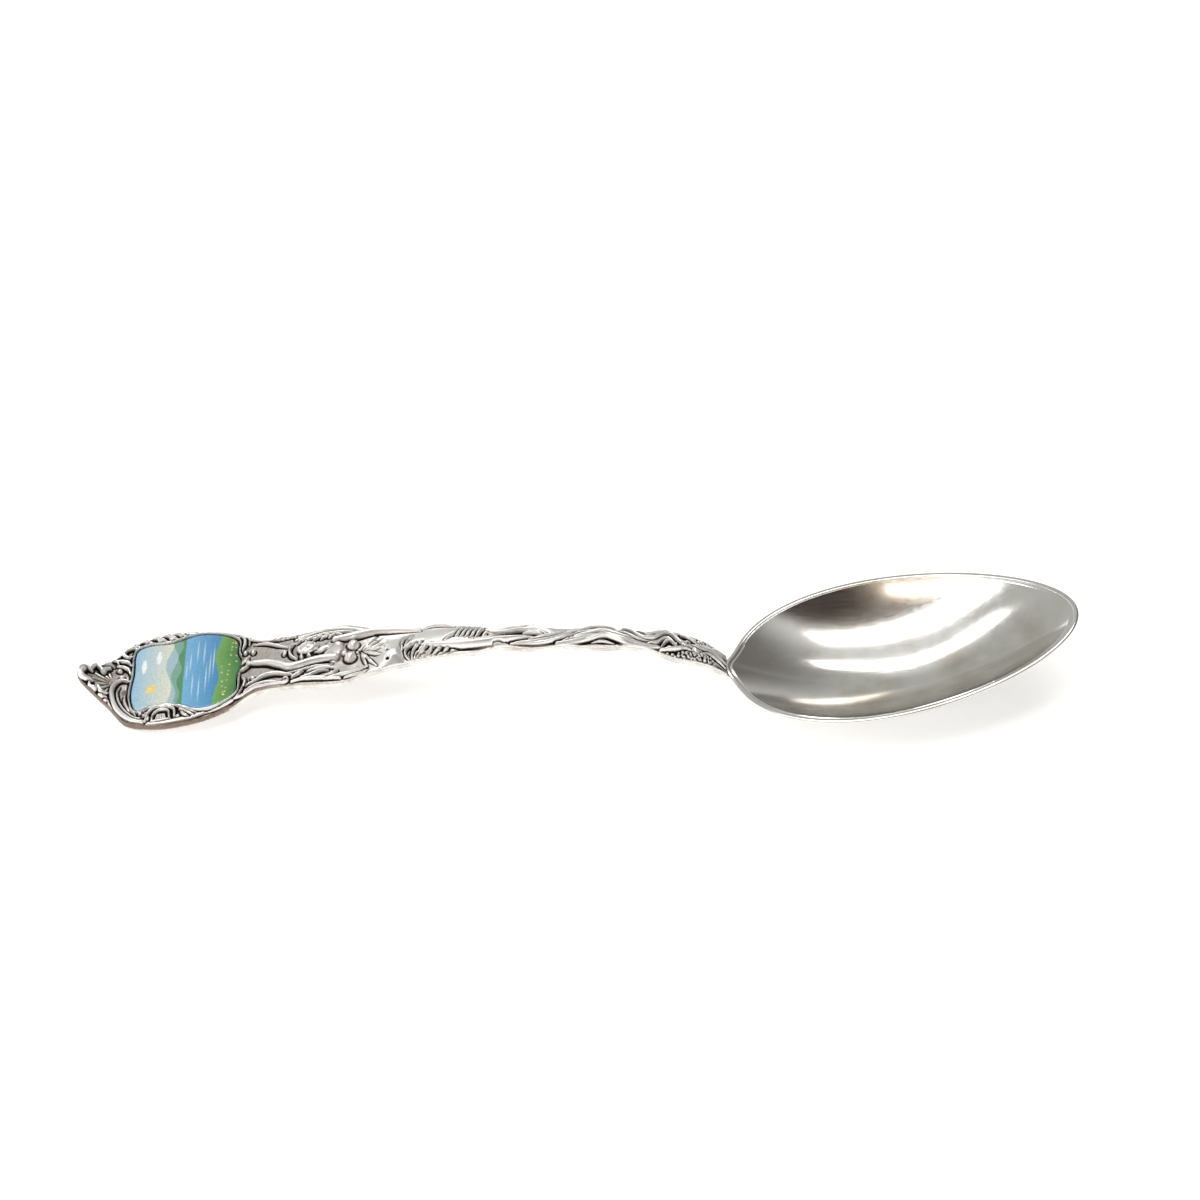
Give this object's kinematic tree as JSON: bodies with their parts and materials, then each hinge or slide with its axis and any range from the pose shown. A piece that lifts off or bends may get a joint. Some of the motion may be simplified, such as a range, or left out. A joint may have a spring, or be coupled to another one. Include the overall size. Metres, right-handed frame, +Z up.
{
  "type": "souvenir spoon",
  "caption": "Silver spoon with an egg-shaped bowl, an arched handle struck with a draped nymph and scrolls, and an enamelled cartouche at its end.",
  "frame": {"origin": "on the surface the spoon rests on, under the middle of its box", "axes": "+X along the spoon from the finial to the tip of the bowl, +Y across it, +Z up out of the open bowl"},
  "size_m": [0.149, 0.03, 0.016],
  "materials": {
    "satin_silver": "worn satin sterling silver",
    "struck_silver": "die-struck sterling silver, lightly tarnished",
    "darkened_silver": "die-struck sterling silver, dark oxide in the recesses, bright on the ridges",
    "ground_enamel": "opaque fired enamel, pale",
    "painted_enamel": "painted enamel under a clear fired coat, glossy"
  },
  "bodies": {
    "root": {"bowl": "satin_silver", "bowl_drop": "satin_silver", "handle_plate": "struck_silver", "blossom_collar": "darkened_silver", "twisted_stem": "darkened_silver", "nymph_figure": "darkened_silver", "near_scrolls": "darkened_silver", "far_scrolls": "darkened_silver", "cartouche_frame": "darkened_silver", "finial_shell": "darkened_silver", "enamel_ground": "ground_enamel", "enamel_painting": "painted_enamel"}
  },
  "joints": []
}
